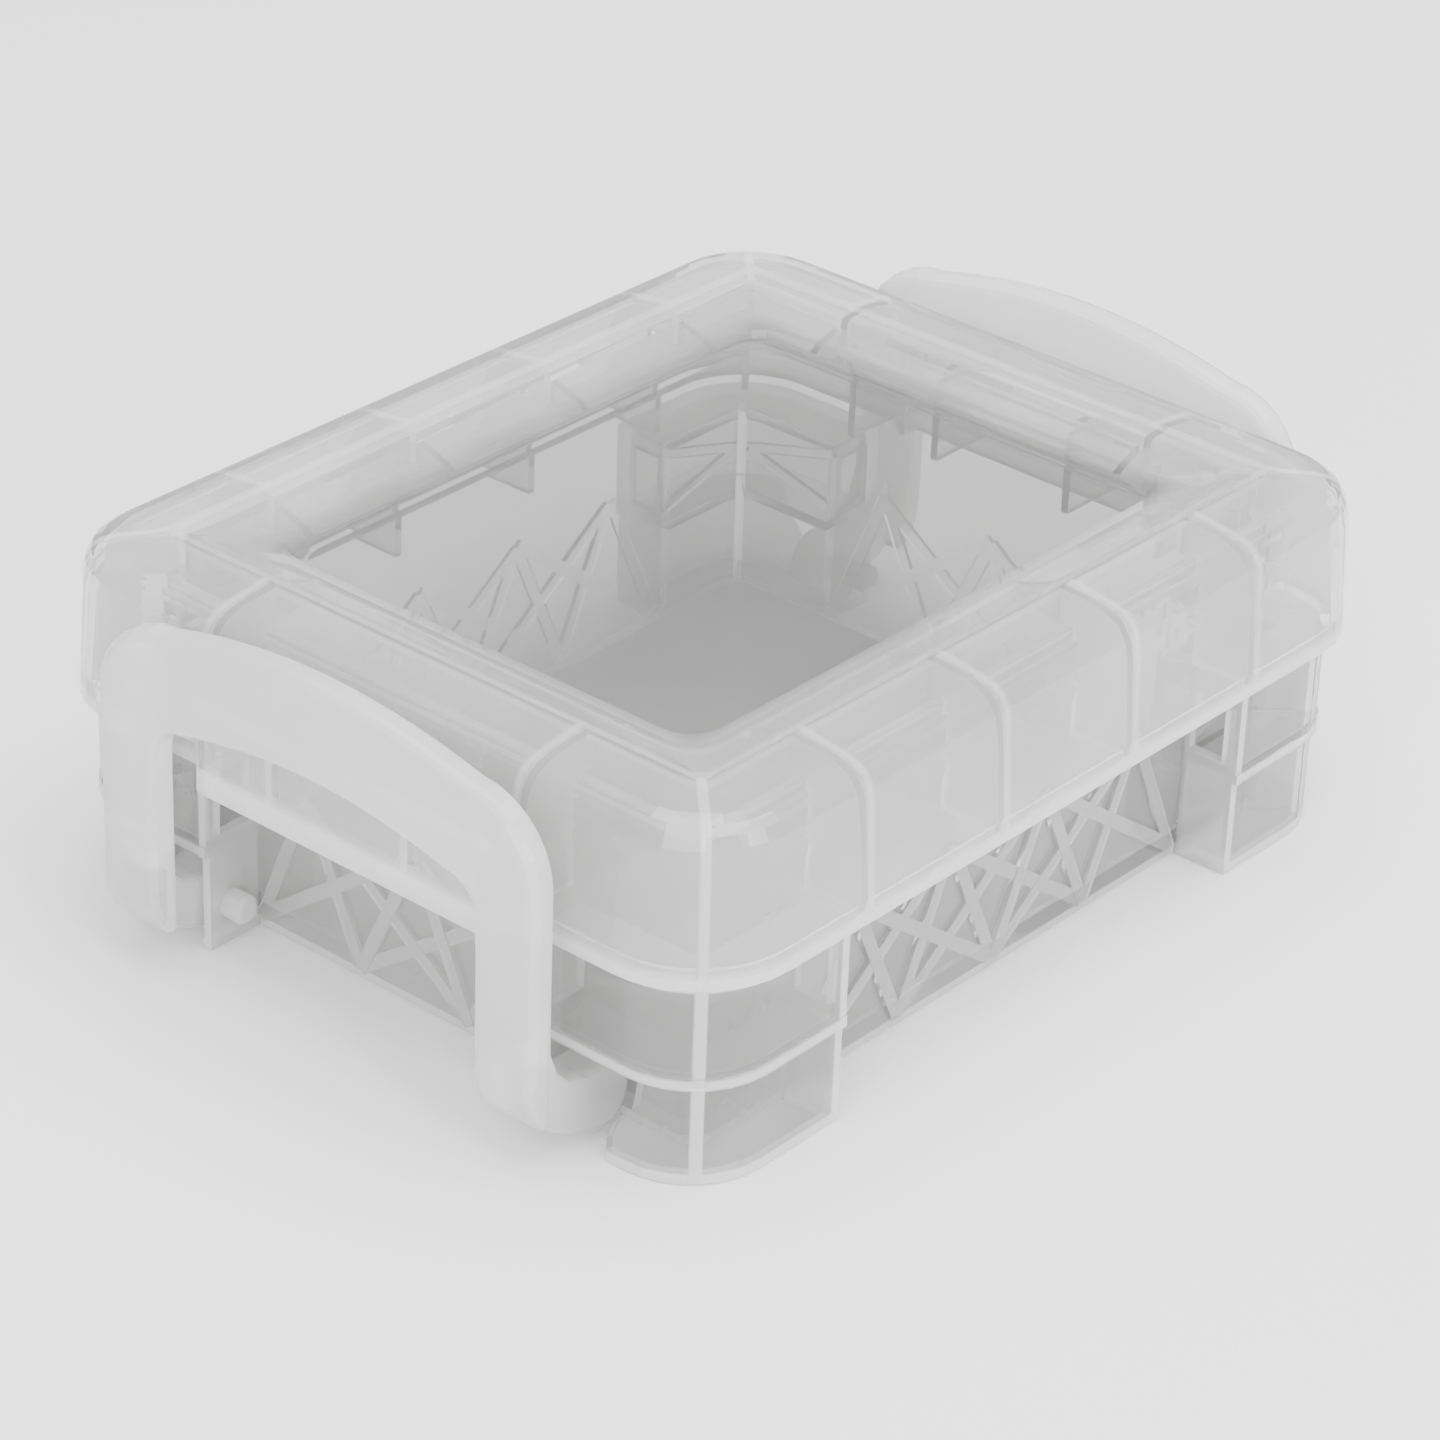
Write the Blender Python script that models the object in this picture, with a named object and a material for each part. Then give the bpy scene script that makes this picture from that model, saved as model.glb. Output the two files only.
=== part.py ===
"""Small clear plastic box with a lift-off lid and two swinging clip handles.

+X runs along the long side, +Y across, +Z up.  The origin lies under the
middle of the box, on the plane that it stands on.  The pieces are worked out in
millimetres and brought to metres when each one is finished.
"""
import math
import bpy
import bmesh
from mathutils import Matrix

for ob in list(bpy.data.objects):
    bpy.data.objects.remove(ob, do_unlink=True)

MM = 1.0            # working unit
TO_METRES = 0.001

# ---- driving dimensions ----------------------------------------------------
# tub
TUB_X, TUB_Y, TUB_R = 44.8 * MM, 36.2 * MM, 2.4 * MM      # half sizes, outer corner radius
WALL = 1.3 * MM
FLOOR_T = 1.4 * MM
RIM_Z = 34.0 * MM
# corner posts
POST_X, POST_Y, POST_R = 52.1 * MM, 43.1 * MM, 9.5 * MM    # outer skin, half sizes and radius
POST_END_X, POST_END_Y = 31.2 * MM, 22.0 * MM              # where a post stops on the long and short side
POST_TOP = 22.0 * MM
SHELF_Z = 12.0 * MM
SHELF_T = 1.2 * MM
SKIN = 1.2 * MM
FOOT_STEP = 0.4 * MM                                       # the foot stands in by this much
# lid
LID_X, LID_Y, LID_R = 54.0 * MM, 45.0 * MM, 11.5 * MM      # skirt at its lower edge
SKIRT_Z = 22.8 * MM
RIDGE_X, RIDGE_Y, LID_TOP = 44.0 * MM, 35.0 * MM, 40.0 * MM
PANEL_X, PANEL_Y, PANEL_Z = 36.0 * MM, 27.0 * MM, 37.0 * MM
LID_T = 1.2 * MM
RIB_X = (10.2 * MM, 30.6 * MM)                             # cross ribs on the long sides
RIB_Y = 20.6 * MM                                          # cross ribs on the short sides
RIB_T = 0.9 * MM
CATCH_X, CATCH_Y = 56.0 * MM, 20.0 * MM                    # catch ledge on each short side
CATCH_Z0, CATCH_Z1 = 21.4 * MM, 31.4 * MM
CATCH_RIB_Y = 9.0 * MM
PLUG_GAP = 0.4 * MM                                        # locating ring to tub wall
PLUG_Z = 31.6 * MM
# handles
HINGE_X, HINGE_Z = 48.9 * MM, 4.4 * MM                     # pivot axis, parallel to Y
HANDLE_IN, HANDLE_OUT = 56.4 * MM, 59.8 * MM               # inner and outer face along X
ARM_OUT, ARM_IN = 29.0 * MM, 21.2 * MM                     # arm edges along Y
GRIP_TOP, GRIP_UNDER = 42.3 * MM, 31.6 * MM                # crown of the arch, outside and inside
EYE_R = 3.5 * MM
EYE_Y0, EYE_Y1 = 23.7 * MM, 28.6 * MM
PIN_R = 1.60 * MM
PIN_END = 19.4 * MM
PIN_HOLE_R = 1.69 * MM


# ---- small tools -------------------------------------------------------------
def new_object(name, bm):
    bmesh.ops.recalc_face_normals(bm, faces=bm.faces)
    me = bpy.data.meshes.new(name)
    bm.to_mesh(me)
    bm.free()
    ob = bpy.data.objects.new(name, me)
    bpy.context.scene.collection.objects.link(ob)
    return ob


def round_rect(hx, hy, r, n=6):
    """Outline of a rounded rectangle, anticlockwise, n steps per corner."""
    pts = []
    for sx, sy, a0 in ((1, 1, 0), (-1, 1, 90), (-1, -1, 180), (1, -1, 270)):
        for k in range(n + 1):
            a = math.radians(a0 + 90.0 * k / n)
            pts.append((sx * (hx - r) + r * math.cos(a), sy * (hy - r) + r * math.sin(a)))
    return pts


def loft(name, rings, close=False):
    """Skin between rings of equal length; the ends are capped, or joined if close."""
    bm = bmesh.new()
    loops = [[bm.verts.new(p) for p in ring] for ring in rings]
    count = len(loops[0])
    pairs = list(zip(loops[:-1], loops[1:]))
    if close:
        pairs.append((loops[-1], loops[0]))
    for a, b in pairs:
        for i in range(count):
            j = (i + 1) % count
            bm.faces.new((a[i], a[j], b[j], b[i]))
    if not close:
        bm.faces.new(loops[0])
        bm.faces.new(loops[-1])
    return new_object(name, bm)


def prism(name, pts, lo, hi, axis="Z"):
    """Flat outline pushed from lo to hi; axis Z takes (x, y), X takes (y, z), Y takes (x, z)."""
    def at(p, h):
        if axis == "Z":
            return (p[0], p[1], h)
        if axis == "X":
            return (h, p[0], p[1])
        return (p[0], h, p[1])
    return loft(name, [[at(p, lo) for p in pts], [at(p, hi) for p in pts]])


def slab(name, x0, x1, y0, y1, z0, z1):
    return prism(name, [(x0, y0), (x1, y0), (x1, y1), (x0, y1)], z0, z1)


def is_closed(me):
    bm = bmesh.new()
    bm.from_mesh(me)
    good = len(bm.faces) > 0 and all(e.is_manifold for e in bm.edges)
    bm.free()
    return good


def boolean(target, tool, how):
    """Boolean of two solids, made final in the target's mesh; the tool is used up.

    The exact solver does it.  Where strips cross in one point it can leave a
    slit, and the manifold solver then takes its place.
    """
    mod = target.modifiers.new(how.lower(), "BOOLEAN")
    mod.operation = how
    mod.object = tool
    for solver in ("EXACT", "MANIFOLD"):
        mod.solver = solver
        deps = bpy.context.evaluated_depsgraph_get()
        me = bpy.data.meshes.new_from_object(target.evaluated_get(deps))
        if is_closed(me):
            break
    target.modifiers.clear()
    old = target.data
    target.data = me
    bpy.data.meshes.remove(old)
    bpy.data.objects.remove(tool, do_unlink=True)
    return target


def union(target, *tools):
    for t in tools:
        boolean(target, t, "UNION")
    return target


def cut(target, *tools):
    for t in tools:
        boolean(target, t, "DIFFERENCE")
    return target


def spin(ob, angle, axis="Z"):
    ob.data.transform(Matrix.Rotation(angle, 4, axis))
    return ob


def flipped(ob, sx, sy):
    """The same solid mirrored to another corner."""
    if sx < 0:
        ob.data.transform(Matrix.Diagonal((-1, 1, 1, 1)))
    if sy < 0:
        ob.data.transform(Matrix.Diagonal((1, -1, 1, 1)))
    if sx * sy < 0:
        ob.data.flip_normals()
    return ob


def material(name, rgb, rough, alpha):
    m = bpy.data.materials.new(name)
    m.use_nodes = True
    p = m.node_tree.nodes["Principled BSDF"]
    p.inputs["Base Color"].default_value = (*rgb, 1.0)
    p.inputs["Roughness"].default_value = rough
    p.inputs["Metallic"].default_value = 0.0
    p.inputs["Alpha"].default_value = alpha
    return m


def finish(ob, name, mat):
    """Clean, shade and name a finished piece."""
    bm = bmesh.new()
    bm.from_mesh(ob.data)
    bmesh.ops.remove_doubles(bm, verts=bm.verts, dist=2e-3)
    bmesh.ops.dissolve_degenerate(bm, dist=2e-3, edges=bm.edges)
    bmesh.ops.dissolve_limit(bm, angle_limit=math.radians(0.2), verts=bm.verts, edges=bm.edges)
    bmesh.ops.triangulate(bm, faces=bm.faces)
    bmesh.ops.scale(bm, vec=(TO_METRES, TO_METRES, TO_METRES), verts=bm.verts)
    bm.to_mesh(ob.data)
    bm.free()
    ob.name = name
    ob.data.name = name
    ob.data.materials.clear()
    ob.data.materials.append(mat)
    ob.data.shade_smooth()
    ob.data.set_sharp_from_angle(angle=math.radians(32))
    return ob


# ---- tub -----------------------------------------------------------------------
def band(name, a, b, width, proud, side):
    """Flat raised strip from a to b on a wall, a and b as (along, z)."""
    along, up = b[0] - a[0], b[1] - a[1]
    length = math.hypot(along, up)
    ca, cz = along / length, up / length
    nx, nz = -cz * width / 2, ca * width / 2
    pts = [(a[0] + nx, a[1] + nz), (a[0] - nx, a[1] - nz), (b[0] - nx, b[1] - nz), (b[0] + nx, b[1] + nz)]
    inside = 0.4 * MM
    if side == "Y":
        return prism(name, pts, TUB_Y - inside, TUB_Y + proud, "Y")
    return prism(name, pts, TUB_X - inside, TUB_X + proud, "X")


def post():
    """Hollow corner post at +X +Y: skin, top, shelf, foot, end walls and a diagonal web."""
    parts = []

    def ring(px, py, r, t, z0, z1, nm):
        outer = prism(nm, round_rect(px, py, r, 7), z0, z1)
        inner = prism("cut", round_rect(px - t, py - t, r - t, 7), z0 - MM, z1 + MM)
        cut(outer, inner)
        # keep only this corner
        keep = prism("cut", [(POST_END_X + 0.02 * MM, POST_END_Y + 0.02 * MM), (70 * MM, POST_END_Y + 0.02 * MM),
                             (70 * MM, 70 * MM), (POST_END_X + 0.02 * MM, 70 * MM)], z0 - 2 * MM, z1 + 2 * MM)
        return boolean(outer, keep, "INTERSECT")

    def plate(px, py, r, z0, z1, nm):
        body = prism(nm, round_rect(px, py, r, 7), z0, z1)
        keep = prism("cut", [(POST_END_X + 0.04 * MM, TUB_Y - 0.5 * MM), (TUB_X - 0.5 * MM, TUB_Y - 0.5 * MM),
                             (TUB_X - 0.5 * MM, POST_END_Y + 0.04 * MM), (70 * MM, POST_END_Y + 0.04 * MM),
                             (70 * MM, 70 * MM), (POST_END_X + 0.04 * MM, 70 * MM)], z0 - 2 * MM, z1 + 2 * MM)
        return boolean(body, keep, "INTERSECT")

    upper = ring(POST_X, POST_Y, POST_R, SKIN, SHELF_Z - 0.4 * MM, POST_TOP - 0.05 * MM, "post")
    f = FOOT_STEP
    lower = ring(POST_X - f, POST_Y - f, POST_R - f, SKIN, 0.0, SHELF_Z - 0.3 * MM, "foot")
    # the foot's skin is open on the short side, for the handle's eye
    win = [(POST_END_Y - MM, -MM), (31.2 * MM, -MM), (31.4 * MM, 2.6 * MM), (32.4 * MM, 5.0 * MM), (34.4 * MM, 7.2 * MM),
           (35.0 * MM, SHELF_Z - SHELF_T), (POST_END_Y - MM, SHELF_Z - SHELF_T)]
    cut(lower, prism("cut", win, 47.0 * MM, 56.0 * MM, "X"))
    top = plate(POST_X - 0.03 * MM, POST_Y - 0.03 * MM, POST_R, POST_TOP - SHELF_T, POST_TOP, "top")
    shelf = plate(POST_X + 0.15 * MM, POST_Y + 0.15 * MM, POST_R, SHELF_Z - SHELF_T, SHELF_Z, "shelf")
    # end walls close the post against the tub
    end_x = slab("end", POST_END_X, POST_END_X + SKIN, TUB_Y - 0.4 * MM, POST_Y - f - 0.03 * MM, 0.01 * MM, POST_TOP - 0.1 * MM)
    end_x2 = slab("end", POST_END_X + 0.01 * MM, POST_END_X + SKIN - 0.01 * MM, POST_Y - 1.8 * MM, POST_Y - 0.03 * MM, SHELF_Z - 0.6 * MM, POST_TOP - 0.12 * MM)
    end_y = slab("end", TUB_X - 0.4 * MM, POST_X - f - 0.03 * MM, POST_END_Y, POST_END_Y + SKIN, 0.01 * MM, POST_TOP - 0.1 * MM)
    end_y2 = slab("end", POST_X - 1.8 * MM, POST_X - 0.03 * MM, POST_END_Y + 0.01 * MM, POST_END_Y + SKIN - 0.01 * MM, SHELF_Z - 0.6 * MM, POST_TOP - 0.12 * MM)
    # the upper half of each end wall is an open frame
    z0, z1 = SHELF_Z + 0.9 * MM, POST_TOP - SHELF_T - 0.9 * MM
    cut(end_x, slab("cut", POST_END_X - MM, POST_END_X + 3 * MM, TUB_Y + 0.9 * MM, POST_Y - 1.9 * MM, z0, z1))
    cut(end_y, slab("cut", TUB_X + 0.9 * MM, POST_X - 1.9 * MM, POST_END_Y - MM, POST_END_Y + 3 * MM, z0, z1))
    hole = prism("cut", [(HINGE_X + PIN_HOLE_R * math.cos(math.radians(a)), HINGE_Z + PIN_HOLE_R * math.sin(math.radians(a)))
                         for a in range(0, 360, 15)], POST_END_Y - MM, POST_END_Y + 3 * MM, "Y")
    cut(end_y, hole)
    # diagonal web from the tub's corner to the outer corner, ending inside the skin
    a = math.atan2(POST_Y - TUB_Y, POST_X - TUB_X)
    qx, qy = TUB_X - (POST_X - POST_R), TUB_Y - (POST_Y - POST_R)

    def reach(r):
        b = qx * math.cos(a) + qy * math.sin(a)
        return -b + math.sqrt(b * b - (qx * qx + qy * qy) + r * r)

    webs = [slab("web", -1.6 * MM, reach(POST_R - 0.5 * MM), -0.55 * MM, 0.55 * MM, SHELF_Z - 0.5 * MM, POST_TOP - 0.3 * MM),
            slab("web", -1.5 * MM, reach(POST_R - f - 0.5 * MM), -0.53 * MM, 0.53 * MM, 0.02 * MM, SHELF_Z - 0.2 * MM)]
    for web in webs:
        web.data.transform(Matrix.Translation((TUB_X, TUB_Y, 0)) @ Matrix.Rotation(a, 4, "Z"))
    # low ribs on the tub wall inside the post
    fan = []
    for z in (POST_TOP - 1.6 * MM, 13.6 * MM):
        fan.append(band("fan", (TUB_X - 0.8 * MM, 17.0 * MM), (POST_END_X + 0.6 * MM, z), 1.1 * MM, (0.55 if z > 20 * MM else 0.62) * MM, "Y"))
        fan.append(band("fan", (TUB_Y - 0.8 * MM, 17.0 * MM), (POST_END_Y + 0.6 * MM, z), 1.1 * MM, (0.55 if z > 20 * MM else 0.62) * MM, "X"))
    body = upper
    union(body, lower, shelf, top, end_x, end_x2, end_y, end_y2, *webs, *fan)
    return body


def tub():
    body = prism("tub", round_rect(TUB_X, TUB_Y, TUB_R, 4), 0.0, RIM_Z)
    cut(body, loft("cut", [
        [(x, y, FLOOR_T) for x, y in round_rect(TUB_X - WALL - 1.0 * MM, TUB_Y - WALL - 1.0 * MM, 1.4 * MM, 4)],
        [(x, y, FLOOR_T + 0.35 * MM) for x, y in round_rect(TUB_X - WALL - 0.3 * MM, TUB_Y - WALL - 0.3 * MM, 1.7 * MM, 4)],
        [(x, y, FLOOR_T + 1.2 * MM) for x, y in round_rect(TUB_X - WALL, TUB_Y - WALL, 1.9 * MM, 4)],
        [(x, y, RIM_Z + MM) for x, y in round_rect(TUB_X - WALL, TUB_Y - WALL, 1.9 * MM, 4)]]))
    # truss of flat strips on the recessed walls
    for side, half, tops, lows, sgn in (("Y", POST_END_X, (-22.5, -7.5, 7.5, 22.5), (-30, -15, 0, 15, 30), 1),
                                        ("X", POST_END_Y, (-15.0, 0.0, 15.0), (-21.5, -7.5, 7.5, 21.5), 1)):
        for turn in (0, 1):
            k = 0
            for t in tops:
                for lo in lows:
                    if abs(abs(lo - t) - 7.5) < 1.5 or abs(abs(lo - t) - 22.5) < 1.5:
                        k += 1
                        proud = (0.42 + 0.03 * (k % 7)) * MM
                        b = band("strip", ((t + 0.11 * (k % 3)) * MM, (17.5 + 0.13 * (k % 4)) * MM),
                                 ((lo + 0.09 * (k % 2)) * MM, (1.2 + 0.07 * (k % 5)) * MM), 1.5 * MM, proud, side)
                        if turn:
                            spin(b, math.pi)
                        union(body, b)
    proto = post()
    for sx, sy in ((1, 1), (-1, 1), (-1, -1), (1, -1)):
        p = bpy.data.objects.new("post", proto.data.copy())
        bpy.context.scene.collection.objects.link(p)
        flipped(p, sx, sy)
        union(body, p)
    bpy.data.objects.remove(proto, do_unlink=True)
    return body


# ---- lid -------------------------------------------------------------------------
def lid_shell():
    n = 8

    def ring(hx, hy, r, z):
        return [(x, y, z) for x, y in round_rect(hx, hy, r, n)]

    def off(d, z, r=None):
        return ring(LID_X - d, LID_Y - d, (LID_R - d) if r is None else r, z)

    ridge = LID_X - RIDGE_X
    t = LID_T
    outer = [off(0.0, SKIRT_Z), off(0.75 * MM, 35.6 * MM), off(1.05 * MM, 37.0 * MM), off(1.7 * MM, 38.15 * MM),
             off(2.7 * MM, 38.85 * MM), off(4.2 * MM, 39.25 * MM, 7.4 * MM), off(7.4 * MM, 39.65 * MM, 5.0 * MM),
             off(ridge - 0.8 * MM, 39.93 * MM, 2.4 * MM), off(ridge, LID_TOP, 1.6 * MM), off(ridge + 0.7 * MM, 39.75 * MM, 1.5 * MM),
             off(ridge + 3.6 * MM, 38.7 * MM, 2.4 * MM), off(ridge + 7.1 * MM, PANEL_Z + 0.85 * MM, 4.0 * MM),
             off(ridge + 7.5 * MM, PANEL_Z + 0.12 * MM, 4.2 * MM), off(ridge + 8.0 * MM, PANEL_Z, 4.4 * MM)]
    inner = [off(ridge + 8.4 * MM, PANEL_Z - t, 4.2 * MM), off(ridge + 6.8 * MM, PANEL_Z - t + 0.2 * MM, 4.0 * MM),
             off(ridge + 3.4 * MM, 38.45 * MM - t, 3.0 * MM), off(ridge + 0.2 * MM, 39.65 * MM - t, 2.2 * MM),
             off(ridge - 2.4 * MM, 39.5 * MM - t, 3.4 * MM), off(5.4 * MM, 39.2 * MM - t, 6.0 * MM),
             off(3.4 * MM, 38.4 * MM - t, 7.8 * MM), off(2.4 * MM, 36.9 * MM - t, 8.9 * MM),
             off(0.7 * MM + t, 34.4 * MM - t), off(t, SKIRT_Z + 1.9 * MM),
             off(t + 0.45 * MM, SKIRT_Z + 1.3 * MM), off(t + 0.45 * MM, SKIRT_Z)]
    bm = bmesh.new()
    loops = [[bm.verts.new(p) for p in r] for r in outer + inner]
    count = len(loops[0])
    top_i = len(outer) - 1
    for a in range(len(loops)):
        b = (a + 1) % len(loops)
        if a == top_i:
            continue
        for i in range(count):
            j = (i + 1) % count
            bm.faces.new((loops[a][i], loops[a][j], loops[b][j], loops[b][i]))
    bm.faces.new(loops[top_i])
    bm.faces.new(loops[top_i + 1])
    return new_object("lid", bm)


def lid_web(half):
    """Cross rib outline in (across, z): fills the hollow rim from the skirt to the panel's edge."""
    skirt = half - 0.95 * MM
    tub = {LID_Y: TUB_Y, LID_X: TUB_X}[half] + 0.5 * MM
    d = LID_Y - RIDGE_Y
    return [(skirt, SKIRT_Z + 0.5 * MM), (skirt - 0.35 * MM, 35.0 * MM), (skirt - 0.9 * MM, 37.0 * MM),
            (skirt - 2.6 * MM, 38.3 * MM), (half - 6.0 * MM, 38.75 * MM), (half - d, 39.3 * MM),
            (half - d - 3.5 * MM, 37.9 * MM), (half - d - 6.6 * MM, 36.7 * MM),
            (half - d - 5.4 * MM, 35.6 * MM), (tub - 2.5 * MM, 34.6 * MM), (tub, 34.6 * MM), (tub, SKIRT_Z + 0.5 * MM)]


def make_lid():
    body = lid_shell()
    # catch ledge on each short side, hollow underneath
    for s in (0, 1):
        pts = []
        r = 1.6 * MM
        for a in range(-90, 91, 15):
            c = math.radians(a)
            if a <= 0:
                pts.append((CATCH_X - r + r * math.cos(c), -(CATCH_Y - r) + r * math.sin(c)))
            if a >= 0:
                pts.append((CATCH_X - r + r * math.cos(c), (CATCH_Y - r) + r * math.sin(c)))
        pts += [(52.75 * MM, CATCH_Y), (52.75 * MM, -CATCH_Y)]
        block = loft("catch", [[(x, y, CATCH_Z0) for x, y in pts], [(x, y, CATCH_Z1 - 1.0 * MM) for x, y in pts],
                               [(min(x, CATCH_X - 0.25 * MM), y * 0.985, CATCH_Z1 - 0.35 * MM) for x, y in pts],
                               [(min(x, CATCH_X - 0.9 * MM), y * 0.955, CATCH_Z1) for x, y in pts]])
        pocket = slab("cut", 51.2 * MM, CATCH_X - LID_T, -(CATCH_Y - LID_T), CATCH_Y - LID_T, CATCH_Z0 - MM, CATCH_Z1 - LID_T)
        if s:
            spin(block, math.pi)
            spin(pocket, math.pi)
        union(body, block)
        cut(body, pocket)
    # locating ring that drops inside the tub
    px, py = TUB_X - WALL - PLUG_GAP, TUB_Y - WALL - PLUG_GAP
    ring = prism("plug", round_rect(px, py, 1.5 * MM, 3), PLUG_Z, 38.9 * MM)
    cut(ring, prism("cut", round_rect(px - MM, py - MM, 0.9 * MM, 3), PLUG_Z - MM, 40 * MM))
    union(body, ring)
    for x in (-RIB_X[1], -RIB_X[0], RIB_X[0], RIB_X[1]):
        for s in (0, 1):
            w = prism("web", lid_web(LID_Y), x - RIB_T / 2, x + RIB_T / 2, "X")
            if s:
                w.data.transform(Matrix.Diagonal((1, -1, 1, 1)))
                w.data.flip_normals()
            union(body, w)
    for y in (-RIB_Y, RIB_Y):
        for s in (0, 1):
            w = prism("web", lid_web(LID_X), y - RIB_T / 2, y + RIB_T / 2, "Y")
            if s:
                w.data.transform(Matrix.Diagonal((-1, 1, 1, 1)))
                w.data.flip_normals()
            union(body, w)
    # ribs inside the catch ledges
    z0 = 24.5 * MM
    for y in (-CATCH_RIB_Y, CATCH_RIB_Y):
        for s in (0, 1):
            pts = [(CATCH_X - 0.7 * MM, z0), (CATCH_X - 0.7 * MM, CATCH_Z1 - 0.6 * MM), (52.4 * MM, CATCH_Z1 + 0.3 * MM),
                   (52.3 * MM, 33.6 * MM), (45.4 * MM, 33.6 * MM), (45.4 * MM, z0)]
            w = prism("web", pts, y - RIB_T / 2, y + RIB_T / 2, "Y")
            if s:
                w.data.transform(Matrix.Diagonal((-1, 1, 1, 1)))
                w.data.flip_normals()
            union(body, w)
    # a diagonal rib in each corner, following the ridge's corner outwards
    for sx, sy in ((1, 1), (-1, 1), (-1, -1), (1, -1)):
        a = math.atan2(LID_Y - RIDGE_Y, LID_X - RIDGE_X)
        cx, cy = LID_X - LID_R, LID_Y - LID_R
        ux, uy = math.cos(a), math.sin(a)
        # distance along the diagonal, from the ridge's corner
        start = -1.0 * MM
        end = (cx - RIDGE_X) * ux + (cy - RIDGE_Y) * uy + LID_R - 1.0 * MM
        tubd = (TUB_X + 0.4 * MM - RIDGE_X) * 1.0 + 1.4 * MM
        pts = [(end, SKIRT_Z + 0.5 * MM), (end - 0.35 * MM, 35.0 * MM), (end - 1.0 * MM, 37.0 * MM), (end - 2.6 * MM, 38.2 * MM),
               (end - 5.2 * MM, 38.6 * MM), (0.6 * MM, 39.3 * MM), (start, 38.9 * MM), (start, 34.6 * MM), (tubd, 34.6 * MM), (tubd, SKIRT_Z + 0.5 * MM)]
        w = prism("web", pts, -RIB_T / 2, RIB_T / 2, "Y")
        w.data.transform(Matrix.Translation((RIDGE_X, RIDGE_Y, 0)) @ Matrix.Rotation(a, 4, "Z"))
        flipped(w, sx, sy)
        union(body, w)
    return body


# ---- handle ----------------------------------------------------------------------
def handle():
    """Arched handle at +X, closed: two arms, an arched grip, two feet with eyes and pins."""
    stations = []
    z_low = 10.3 * MM
    arc_r = 9.0 * MM
    z_turn = 31.0 * MM

    def outer_top(y):
        return GRIP_TOP - 2.6 * MM * (y / (ARM_OUT - arc_r)) ** 2

    def inner_top(y):
        return GRIP_UNDER - 3.3 * MM * (y / ARM_IN) ** 2

    def add(oy, oz, iy, iz):
        stations.append(((oy, oz), (iy, iz)))

    r_in = 3.4 * MM
    # up the left arm (at +Y)
    add(ARM_OUT, z_low, ARM_IN, z_low)
    add(ARM_OUT, 14 * MM, ARM_IN, 14 * MM)
    add(ARM_OUT, 22 * MM, ARM_IN, 22 * MM)
    zi = inner_top(ARM_IN - r_in) - r_in
    zo = outer_top(ARM_OUT - arc_r) - arc_r
    add(ARM_OUT, zo - 2.0 * MM, ARM_IN, zi - 1.2 * MM)
    m = 7
    for k in range(m + 1):
        a = math.radians(90.0 * k / m)
        add(ARM_OUT - arc_r + arc_r * math.cos(a), zo + arc_r * math.sin(a),
            ARM_IN - r_in + r_in * math.cos(a), zi + r_in * math.sin(a))
    for k in range(1, 8):
        f = 1.0 - k / 7.0
        yo, yi = (ARM_OUT - arc_r) * f, (ARM_IN - r_in) * f
        add(yo, outer_top(yo), yi, inner_top(yi))
    left = stations[:-1]
    right = [((-o[0], o[1]), (-i[0], i[1])) for o, i in reversed(left)]
    path = left + [stations[-1]] + right
    rings = []
    rc = 1.15 * MM
    half = (HANDLE_OUT - HANDLE_IN) / 2
    xc = (HANDLE_OUT + HANDLE_IN) / 2
    for (oy, oz), (iy, iz) in path:
        width = math.hypot(oy - iy, oz - iz) / 2
        cy, cz = (oy + iy) / 2, (oz + iz) / 2
        uy, uz = (oy - iy) / (2 * width), (oz - iz) / (2 * width)
        ring = []
        for sx, sw, a0 in ((1, 1, 0), (-1, 1, 90), (-1, -1, 180), (1, -1, 270)):
            for k in range(4):
                a = math.radians(a0 + 30.0 * k)
                px = sx * (half - rc) + rc * math.cos(a)
                pw = sw * (width - rc) + rc * math.sin(a)
                ring.append((xc + px, cy + pw * uy, cz + pw * uz))
        rings.append(ring)
    body = loft("handle", rings)
    for s in (1, -1):
        # heel: rounds off the arm's lower end
        heel = []
        hr = 7.6 * MM
        hx, hz = HANDLE_OUT - 0.04 * MM - hr, 2.4 * MM + hr
        heel.append((HANDLE_OUT - 0.04 * MM, 12.4 * MM))
        for k in range(0, 7):
            a = math.radians(-90.0 * k / 6)
            x, z = hx + hr * math.cos(a), hz + hr * math.sin(a)
            if x > HANDLE_IN + 0.1 * MM:
                heel.append((x, z))
        heel.append((HANDLE_IN + 0.05 * MM, heel[-1][1]))
        heel.append((HANDLE_IN + 0.05 * MM, 12.4 * MM))
        y0, y1 = ARM_IN + 0.25 * MM, ARM_OUT - 0.25 * MM
        union(body, rounded_prism("heel", heel, min(s * y0, s * y1), max(s * y0, s * y1), 0.7 * MM))
        # foot and eye
        foot = []
        for k in range(0, 13):
            a = math.radians(80 + 190.0 * k / 12)
            foot.append((HINGE_X + EYE_R * math.cos(a), HINGE_Z + EYE_R * math.sin(a)))
        foot.append((HINGE_X + 2.1 * MM, 1.3 * MM))
        for k in range(0, 7):
            a = math.radians(-74 + 74.0 * k / 6)
            foot.append((hx - 0.5 * MM + hr * math.cos(a), hz - 0.1 * MM + hr * math.sin(a)))
        foot += [(HANDLE_OUT - 0.5 * MM, 12.6 * MM), (HANDLE_IN + 0.8 * MM, 14.0 * MM), (HANDLE_IN - 0.1 * MM, 12.6 * MM), (55.4 * MM, 10.2 * MM),
                 (53.6 * MM, 8.5 * MM), (51.2 * MM, 7.9 * MM)]
        y0, y1 = EYE_Y0, EYE_Y1
        union(body, rounded_prism("foot", foot, min(s * y0, s * y1), max(s * y0, s * y1), 0.5 * MM))
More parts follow.
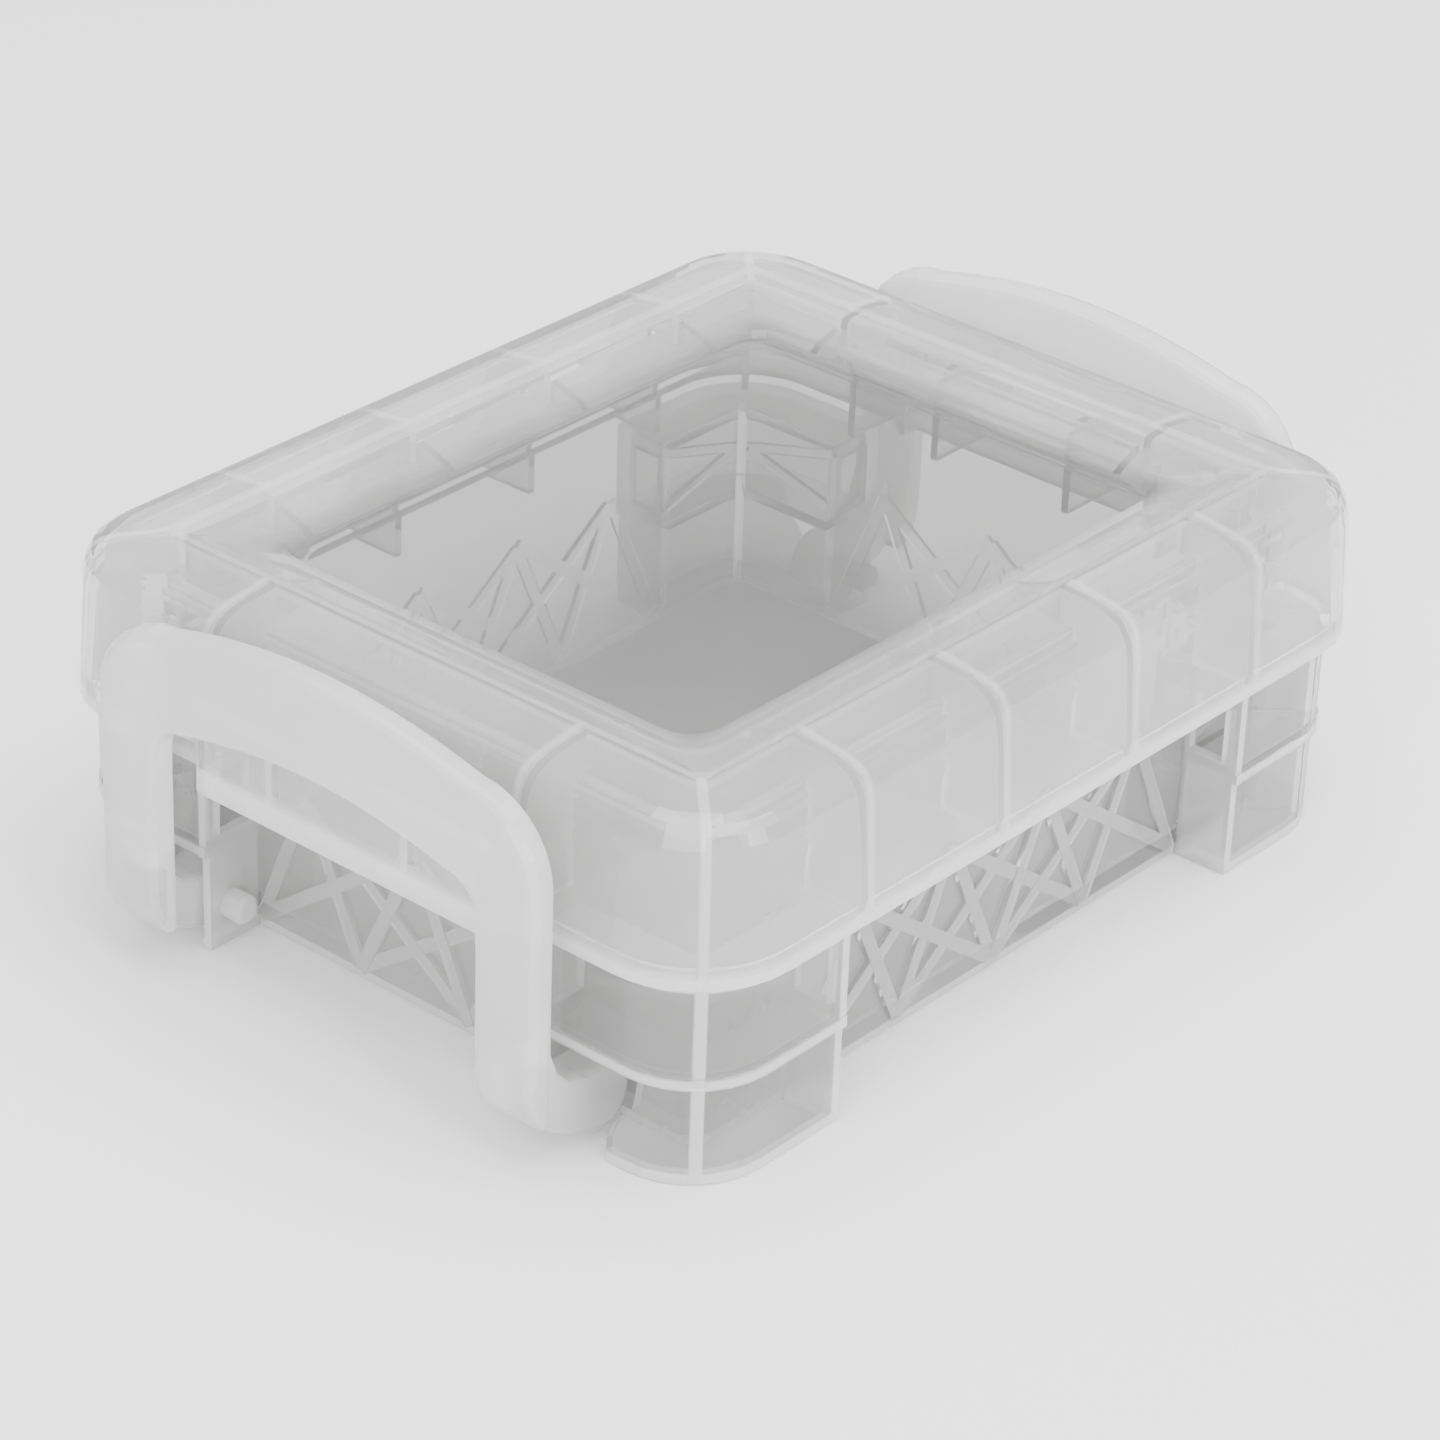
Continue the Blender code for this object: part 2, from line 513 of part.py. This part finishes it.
        # pin, chamfered at its free end
        rings = []
        for y, r in ((25.0 * MM, PIN_R), (PIN_END + 0.5 * MM, PIN_R), (PIN_END, PIN_R - 0.5 * MM)):
            rings.append([(HINGE_X + r * math.cos(math.radians(a)), s * y, HINGE_Z + r * math.sin(math.radians(a))) for a in range(0, 360, 15)])
        union(body, loft("pin", rings))
    return body


def rounded_prism(name, pts, lo, hi, r):
    """Outline in (x, z) pushed along Y, its two rims rounded by r."""
    # work out inward offsets of the outline
    n = len(pts)
    area = sum(pts[i][0] * pts[(i + 1) % n][1] - pts[(i + 1) % n][0] * pts[i][1] for i in range(n))
    s = 1.0 if area > 0 else -1.0

    def inset(d):
        out = []
        for i in range(n):
            p0, p1, p2 = pts[i - 1], pts[i], pts[(i + 1) % n]
            e1 = (p1[0] - p0[0], p1[1] - p0[1])
            e2 = (p2[0] - p1[0], p2[1] - p1[1])
            l1, l2 = math.hypot(*e1), math.hypot(*e2)
            n1 = (-e1[1] / l1 * s, e1[0] / l1 * s)
            n2 = (-e2[1] / l2 * s, e2[0] / l2 * s)
            bx, by = n1[0] + n2[0], n1[1] + n2[1]
            k = d * 2.0 / max(bx * bx + by * by, 1.0)
            out.append((p1[0] + bx * k, p1[1] + by * k))
        return out

    rings = []
    for y, d in ((lo, r), (lo + 0.3 * r, 0.3 * r), (lo + r, 0.0), (hi - r, 0.0), (hi - 0.3 * r, 0.3 * r), (hi, r)):
        rings.append([(x, y, z) for x, z in inset(d)])
    return loft(name, rings)


# ---- assembly ----------------------------------------------------------------------
clear = material("clear_plastic", (0.80, 0.80, 0.79), 0.18, 0.35)
milky = material("milky_plastic", (0.88, 0.88, 0.87), 0.30, 0.55)

finish(tub(), "tub_base", clear)
finish(make_lid(), "lid", clear)

for name, sign in (("clip_handle_left", -1), ("clip_handle_right", 1)):
    ob = handle()
    if sign < 0:
        spin(ob, math.pi)
    finish(ob, name, milky)
    # the origin lies on the hinge axis
    pivot = (sign * HINGE_X * TO_METRES, 0, HINGE_Z * TO_METRES)
    ob.data.transform(Matrix.Translation((-pivot[0], 0, -pivot[2])))
    ob.location = pivot
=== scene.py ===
import math

import bpy
from mathutils import Matrix, Vector

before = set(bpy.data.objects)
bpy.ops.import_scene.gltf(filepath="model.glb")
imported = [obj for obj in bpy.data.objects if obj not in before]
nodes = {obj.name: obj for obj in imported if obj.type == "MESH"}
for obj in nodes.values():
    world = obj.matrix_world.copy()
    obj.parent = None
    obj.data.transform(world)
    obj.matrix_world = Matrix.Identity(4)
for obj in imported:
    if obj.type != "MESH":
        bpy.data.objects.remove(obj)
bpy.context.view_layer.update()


# ---------------------------------------------------------------- materials
class Expr:
    """A number in a node tree, with the arithmetic the masks below need."""

    def __init__(self, nt, socket):
        self.nt, self.socket = nt, socket

    def op(self, kind, *others, clamp=False):
        n = self.nt.nodes.new("ShaderNodeMath")
        n.operation = kind
        n.use_clamp = clamp
        self.nt.links.new(self.socket, n.inputs[0])
        for i, o in enumerate(others):
            if isinstance(o, Expr):
                self.nt.links.new(o.socket, n.inputs[i + 1])
            else:
                n.inputs[i + 1].default_value = o
        return Expr(self.nt, n.outputs[0])

    def __mul__(self, o):
        return self.op("MULTIPLY", o)

    def __sub__(self, o):
        return self.op("SUBTRACT", o)

    def __add__(self, o):
        return self.op("ADD", o)

    def either(self, o):
        return self.op("MAXIMUM", o)

    def above(self, v, soft=0.00015):
        """1 above v, 0 below, with a short ramp."""
        return (self - (v - soft)).op("MULTIPLY", 0.5 / soft, clamp=True)

    def below(self, v, soft=0.00015):
        return self.op("MULTIPLY", -1.0).above(-v, soft)

    def near(self, v, half, soft=0.00015):
        return (self - v).op("ABSOLUTE").below(half, soft)


def node(nt, kind, **values):
    n = nt.nodes.new(kind)
    for k, v in values.items():
        setattr(n, k, v)
    return n


def no_mask(x, y, z, ax, ay):
    return None


def lid_window(x, y, z, ax, ay):
    """The clear recessed panel, which is thinner and less hazy than the rim."""
    return ax.below(0.0372, 0.0012) * ay.below(0.0282, 0.0012)


def lid_haze_and_painted_glow(x, y, z, ax, ay):
    """Where the lid's plastic is thick or stacked, plus painted edge highlights: ribs, ridge, catch ledge and the
    rolled lower edge.
    """
    long_side = ay.above(0.0345)
    short_side = ax.above(0.0435)
    ribs = (ax.near(0.0102, 0.00050, 0.0003).either(ax.near(0.0306, 0.00050, 0.0003))) * long_side
    ribs = ribs.either(ay.near(0.0206, 0.00050, 0.0003) * short_side)
    ribs = ribs.either(ay.near(0.0090, 0.00050) * ax.above(0.0454) * z.below(0.0318))
    # the ridge line is a painted highlight along the inner top edge
    ridge = (ax.near(0.0440, 0.00060) * ay.below(0.0352)).either(ay.near(0.0350, 0.00060) * ax.below(0.0442))
    ridge = ridge * z.above(0.0380) * 0.5
    diagonal = (ax - 0.044 - (ay - 0.035)).near(0.0, 0.0007) * ax.above(0.0438) * ay.above(0.0348)
    lower = z.below(0.0242, 0.0005).either(z.below(0.0226) * ax.above(0.0545))
    ledge = ax.above(0.0542) * z.near(0.0312, 0.0005)
    # whiter lines here are painted edge highlights over the haze of thick plastic
    return (ribs * 0.6).either(ridge).either(diagonal * 0.8).either(lower).either(ledge * 0.7)


def tub_haze_and_painted_glow(x, y, z, ax, ay):
    """Whiter lines, part thick-plastic haze and part painted edge highlights: raised truss strips, shelf, foot edge,
    diagonal web and the posts' end walls.
    """
    long_strips = ay.near(0.03655, 0.00034, 0.00004) * z.below(0.0215) * ax.below(0.0446)
    short_strips = ax.near(0.04515, 0.00034, 0.00004) * z.below(0.0215) * ay.below(0.0360)
    outside = ax.above(0.0452).either(ay.above(0.0366))
    post = ax.above(0.0312) * ay.above(0.0220) * outside
    shelf = z.near(0.0114, 0.0006, 0.0003) * post
    foot = z.below(0.0011) * post
    top = z.above(0.0214) * z.below(0.0222) * post
    ends = (ax.near(0.0317, 0.00055) * ay.above(0.0364)).either(ay.near(0.0225, 0.00055) * ax.above(0.0450)) * z.below(0.0221)
    diagonal = ((ax - 0.0448) * 0.945 - (ay - 0.0362)).near(0.0, 0.00085) * post
    floor = z.below(0.0010) * (ax.near(0.0443, 0.0006).either(ay.near(0.0357, 0.0006)))
    # the top rim and the edges above get painted light lines as well as thick-plastic haze
    rim = z.above(0.0335)
    return (long_strips.either(short_strips) * 0.5).either(shelf).either(foot).either(top).either(ends).either(diagonal).either(floor).either(rim)


def plastic(name, tint_a, tint_b, rough_a, rough_b, transmission, ior, bump, coat, mask=no_mask, haze_glow_transmission=0.5, thin=no_mask, thin_tint=(0.8, 0.8, 0.8), thin_transmission=0.93):
    """Moulded polypropylene: cloudy haze, flow streaks, fine scratches and orange peel, milkier and whiter where the
    mask marks thick plastic and painted edge highlights.
    """
    mat = bpy.data.materials.new(name)
    mat.use_nodes = True
    nt = mat.node_tree
    nt.nodes.clear()
    out = node(nt, "ShaderNodeOutputMaterial")
    bsdf = node(nt, "ShaderNodeBsdfPrincipled")
    nt.links.new(bsdf.outputs[0], out.inputs[0])
    coord = node(nt, "ShaderNodeTexCoord")
    split = node(nt, "ShaderNodeSeparateXYZ")
    nt.links.new(coord.outputs["Object"], split.inputs[0])
    x, y, z = (Expr(nt, split.outputs[i]) for i in range(3))
    haze_glow_weight = mask(x, y, z, x.op("ABSOLUTE"), y.op("ABSOLUTE"))

    # slow drift of haze through the moulding
    cloud = node(nt, "ShaderNodeTexNoise")
    cloud.inputs["Scale"].default_value = 55.0
    cloud.inputs["Detail"].default_value = 4.0
    cloud.inputs["Roughness"].default_value = 0.55
    nt.links.new(coord.outputs["Object"], cloud.inputs["Vector"])
    ramp = node(nt, "ShaderNodeValToRGB")
    ramp.color_ramp.elements[0].position = 0.32
    ramp.color_ramp.elements[1].position = 0.70
    ramp.color_ramp.elements[0].color = (*tint_a, 1)
    ramp.color_ramp.elements[1].color = (*tint_b, 1)
    nt.links.new(cloud.outputs["Fac"], ramp.inputs["Fac"])

    # long faint streaks where the melt flowed
    stretch = node(nt, "ShaderNodeMapping")
    stretch.inputs["Scale"].default_value = (16.0, 90.0, 150.0)
    nt.links.new(coord.outputs["Object"], stretch.inputs["Vector"])
    flow = node(nt, "ShaderNodeTexNoise")
    flow.inputs["Scale"].default_value = 2.2
    flow.inputs["Detail"].default_value = 5.0
    flow.inputs["Distortion"].default_value = 0.8
    nt.links.new(stretch.outputs["Vector"], flow.inputs["Vector"])
    tone = node(nt, "ShaderNodeMix")
    tone.data_type = "RGBA"
    tone.blend_type = "MULTIPLY"
    tone.inputs[0].default_value = 0.06
    nt.links.new(ramp.outputs["Color"], tone.inputs[6])
    nt.links.new(flow.outputs["Fac"], tone.inputs[7])
    colour = tone.outputs[2]
    light = thin(x, y, z, x.op("ABSOLUTE"), y.op("ABSOLUTE"))
    base = transmission
    if light is not None:
        # the thin flat panel lets more light through
        pane = node(nt, "ShaderNodeMix")
        pane.data_type = "RGBA"
        nt.links.new(light.socket, pane.inputs[0])
        nt.links.new(colour, pane.inputs[6])
        pane.inputs[7].default_value = (*thin_tint, 1)
        colour = pane.outputs[2]
        base = light * (thin_transmission - transmission) + transmission

    if haze_glow_weight is not None:
        # masked places are whiter and less see-through: partly haze where the plastic is thick, partly painted edge
        # highlights
        white = node(nt, "ShaderNodeMix")
        white.data_type = "RGBA"
        nt.links.new(haze_glow_weight.socket, white.inputs[0])
        nt.links.new(colour, white.inputs[6])
        white.inputs[7].default_value = (0.985, 0.985, 0.98, 1)
        colour = white.outputs[2]
        if isinstance(base, Expr):
            clearer = base - haze_glow_weight * (base - haze_glow_transmission)
        else:
            clearer = haze_glow_weight.op("MULTIPLY_ADD", haze_glow_transmission - transmission, transmission, clamp=True)
        nt.links.new(clearer.socket, bsdf.inputs["Transmission Weight"])
    else:
        bsdf.inputs["Transmission Weight"].default_value = transmission
    nt.links.new(colour, bsdf.inputs["Base Color"])

    rough = node(nt, "ShaderNodeMapRange")
    rough.inputs["From Min"].default_value = 0.30
    rough.inputs["From Max"].default_value = 0.72
    rough.inputs["To Min"].default_value = rough_a
    rough.inputs["To Max"].default_value = rough_b
    nt.links.new(flow.outputs["Fac"], rough.inputs["Value"])

    # handling scratches: thin cell borders, broken up by noise
    warp = node(nt, "ShaderNodeMapping")
    warp.inputs["Scale"].default_value = (1.0, 0.35, 1.0)
    warp.inputs["Rotation"].default_value = (0.3, 0.5, 0.7)
    nt.links.new(coord.outputs["Object"], warp.inputs["Vector"])
    cells = node(nt, "ShaderNodeTexVoronoi", feature="DISTANCE_TO_EDGE")
    cells.inputs["Scale"].default_value = 60.0
    nt.links.new(warp.outputs["Vector"], cells.inputs["Vector"])
    patchy = node(nt, "ShaderNodeTexNoise")
    patchy.inputs["Scale"].default_value = 120.0
    nt.links.new(coord.outputs["Object"], patchy.inputs["Vector"])
    mark = Expr(nt, cells.outputs["Distance"]).below(0.006, 0.004) * Expr(nt, patchy.outputs["Fac"]).above(0.62, 0.04)
    worn = (mark * 0.12 + Expr(nt, rough.outputs["Result"])).op("ADD", 0.0, clamp=True)
    nt.links.new(worn.socket, bsdf.inputs["Roughness"])

    # orange peel and flow lines as bump
    peel = node(nt, "ShaderNodeTexNoise")
    peel.inputs["Scale"].default_value = 180.0
    peel.inputs["Detail"].default_value = 1.0
    nt.links.new(coord.outputs["Object"], peel.inputs["Vector"])
    dent = Expr(nt, peel.outputs["Fac"]) * 0.5 + Expr(nt, flow.outputs["Fac"]) - mark * 0.6
    bmp = node(nt, "ShaderNodeBump")
    bmp.inputs["Strength"].default_value = bump
    bmp.inputs["Distance"].default_value = 0.0001
    nt.links.new(dent.socket, bmp.inputs["Height"])
    nt.links.new(bmp.outputs["Normal"], bsdf.inputs["Normal"])

    bsdf.inputs["IOR"].default_value = ior
    bsdf.inputs["Coat Weight"].default_value = coat
    bsdf.inputs["Coat Roughness"].default_value = 0.06
    return mat


# the tub and lid masks paint edge highlights as whiter, less clear lines
clear = plastic("clear_polypropylene", (0.69, 0.69, 0.685), (0.78, 0.78, 0.775), 0.0, 0.015, 0.87, 1.13, 0.008, 0.5, tub_haze_and_painted_glow, 0.58)
lid_clear = plastic("lid_polypropylene", (0.84, 0.84, 0.835), (0.92, 0.92, 0.915), 0.0, 0.02, 0.80, 1.15, 0.012, 0.8, lid_haze_and_painted_glow, 0.56,
                    lid_window, (0.70, 0.70, 0.695), 0.95)
milky = plastic("milky_polypropylene", (0.88, 0.88, 0.87), (0.95, 0.95, 0.945), 0.12, 0.20, 0.58, 1.12, 0.05, 0.5)


def paint(name, mat):
    o = nodes[name]
    o.data.materials.clear()
    o.data.materials.append(mat)
    return o


paint("tub_base", clear)
paint("lid", lid_clear)
for n in ("clip_handle_left", "clip_handle_right"):
    paint(n, milky)

# moulded edges are slightly rounded and flats stay flat
for n, w in (("tub_base", 0.00012), ("lid", 0.00018), ("clip_handle_left", 0.0003), ("clip_handle_right", 0.0003)):
    o = nodes[n]
    bev = o.modifiers.new("moulded_edges", "BEVEL")
    bev.width = w
    bev.segments = 2
    bev.limit_method = "ANGLE"
    bev.angle_limit = math.radians(38)
    bev.harden_normals = False
    bev.use_clamp_overlap = True

# ---------------------------------------------------------------- floor
floor_mat = bpy.data.materials.new("floor_pale")
floor_mat.use_nodes = True
p = floor_mat.node_tree.nodes["Principled BSDF"]
p.inputs["Base Color"].default_value = (0.97, 0.97, 0.97, 1)
p.inputs["Roughness"].default_value = 0.75
verts, faces = [], []
profile = [(-1.2, 0.0), (1.6, 0.0)]
for k in range(9):
    a = k / 8 * math.pi / 2
    profile.append((1.6 + 0.5 * math.sin(a), 0.5 - 0.5 * math.cos(a)))
profile.append((2.1, 2.2))
for x, z in profile:
    verts += [(x, -2.4, z), (x, 2.4, z)]
for k in range(len(profile) - 1):
    faces.append((2 * k, 2 * k + 2, 2 * k + 3, 2 * k + 1))
me = bpy.data.meshes.new("floor")
me.from_pydata(verts, [], faces)
me.materials.append(floor_mat)
for f in me.polygons:
    f.use_smooth = True
floor = bpy.data.objects.new("floor", me)
bpy.context.scene.collection.objects.link(floor)
floor.rotation_euler = (0, 0, math.radians(40.1))
floor.location = (0, 0, -0.0002)


# ---------------------------------------------------------------- lights
def area(name, loc, aim, size, watts, colour=(1, 1, 1)):
    light = bpy.data.lights.new(name, "AREA")
    light.shape = "RECTANGLE"
    light.size, light.size_y = size
    light.energy = watts
    light.color = colour
    o = bpy.data.objects.new(name, light)
    bpy.context.scene.collection.objects.link(o)
    o.location = loc
    o.rotation_euler = (Vector(aim) - Vector(loc)).to_track_quat("-Z", "Y").to_euler()
    return o


area("key_overhead", (0.05, -0.10, 0.75), (0, 0, 0), (0.8, 0.8), 11.0)
area("fill_front", (-0.70, -0.45, 0.30), (0, 0, 0.02), (0.5, 0.4), 5.0)
area("fill_right", (0.10, -0.80, 0.30), (0, 0, 0.02), (0.4, 0.3), 3.0)
area("spark_left", (-0.52, -0.16, 0.62), (-0.04, -0.03, 0.04), (0.05, 0.05), 0.9)
area("spark_right", (-0.20, -0.55, 0.60), (-0.04, -0.03, 0.04), (0.05, 0.05), 0.9)

world = bpy.data.worlds.new("studio")
bpy.context.scene.world = world
world.use_nodes = True
world.node_tree.nodes["Background"].inputs[0].default_value = (0.97, 0.975, 0.98, 1)
world.node_tree.nodes["Background"].inputs[1].default_value = 1.0

# ---------------------------------------------------------------- camera
YAW, PITCH, ROLL = CAM_ANGLES = (0.70, 0.515, 0.036)
TARGET = Vector((-0.01056, -0.00881, 0.0220))
DIST = 0.501
d = Vector((math.cos(PITCH) * math.cos(YAW), math.cos(PITCH) * math.sin(YAW), -math.sin(PITCH)))
right = Vector((math.sin(YAW), -math.cos(YAW), 0))
up = right.cross(d)
r2 = math.cos(ROLL) * right + math.sin(ROLL) * up
u2 = -math.sin(ROLL) * right + math.cos(ROLL) * up
pos = TARGET - d * DIST
cam_data = bpy.data.cameras.new("camera")
cam_data.sensor_width = 36.0
cam_data.lens = 5009.15 / 1440 * 36.0
cam_data.clip_start = 0.01
cam_data.clip_end = 20
cam = bpy.data.objects.new("camera", cam_data)
bpy.context.scene.collection.objects.link(cam)
m = Matrix.Identity(4)
for i in range(3):
    m[i][0], m[i][1], m[i][2], m[i][3] = r2[i], u2[i], -d[i], pos[i]
cam.matrix_world = m
bpy.context.scene.camera = cam
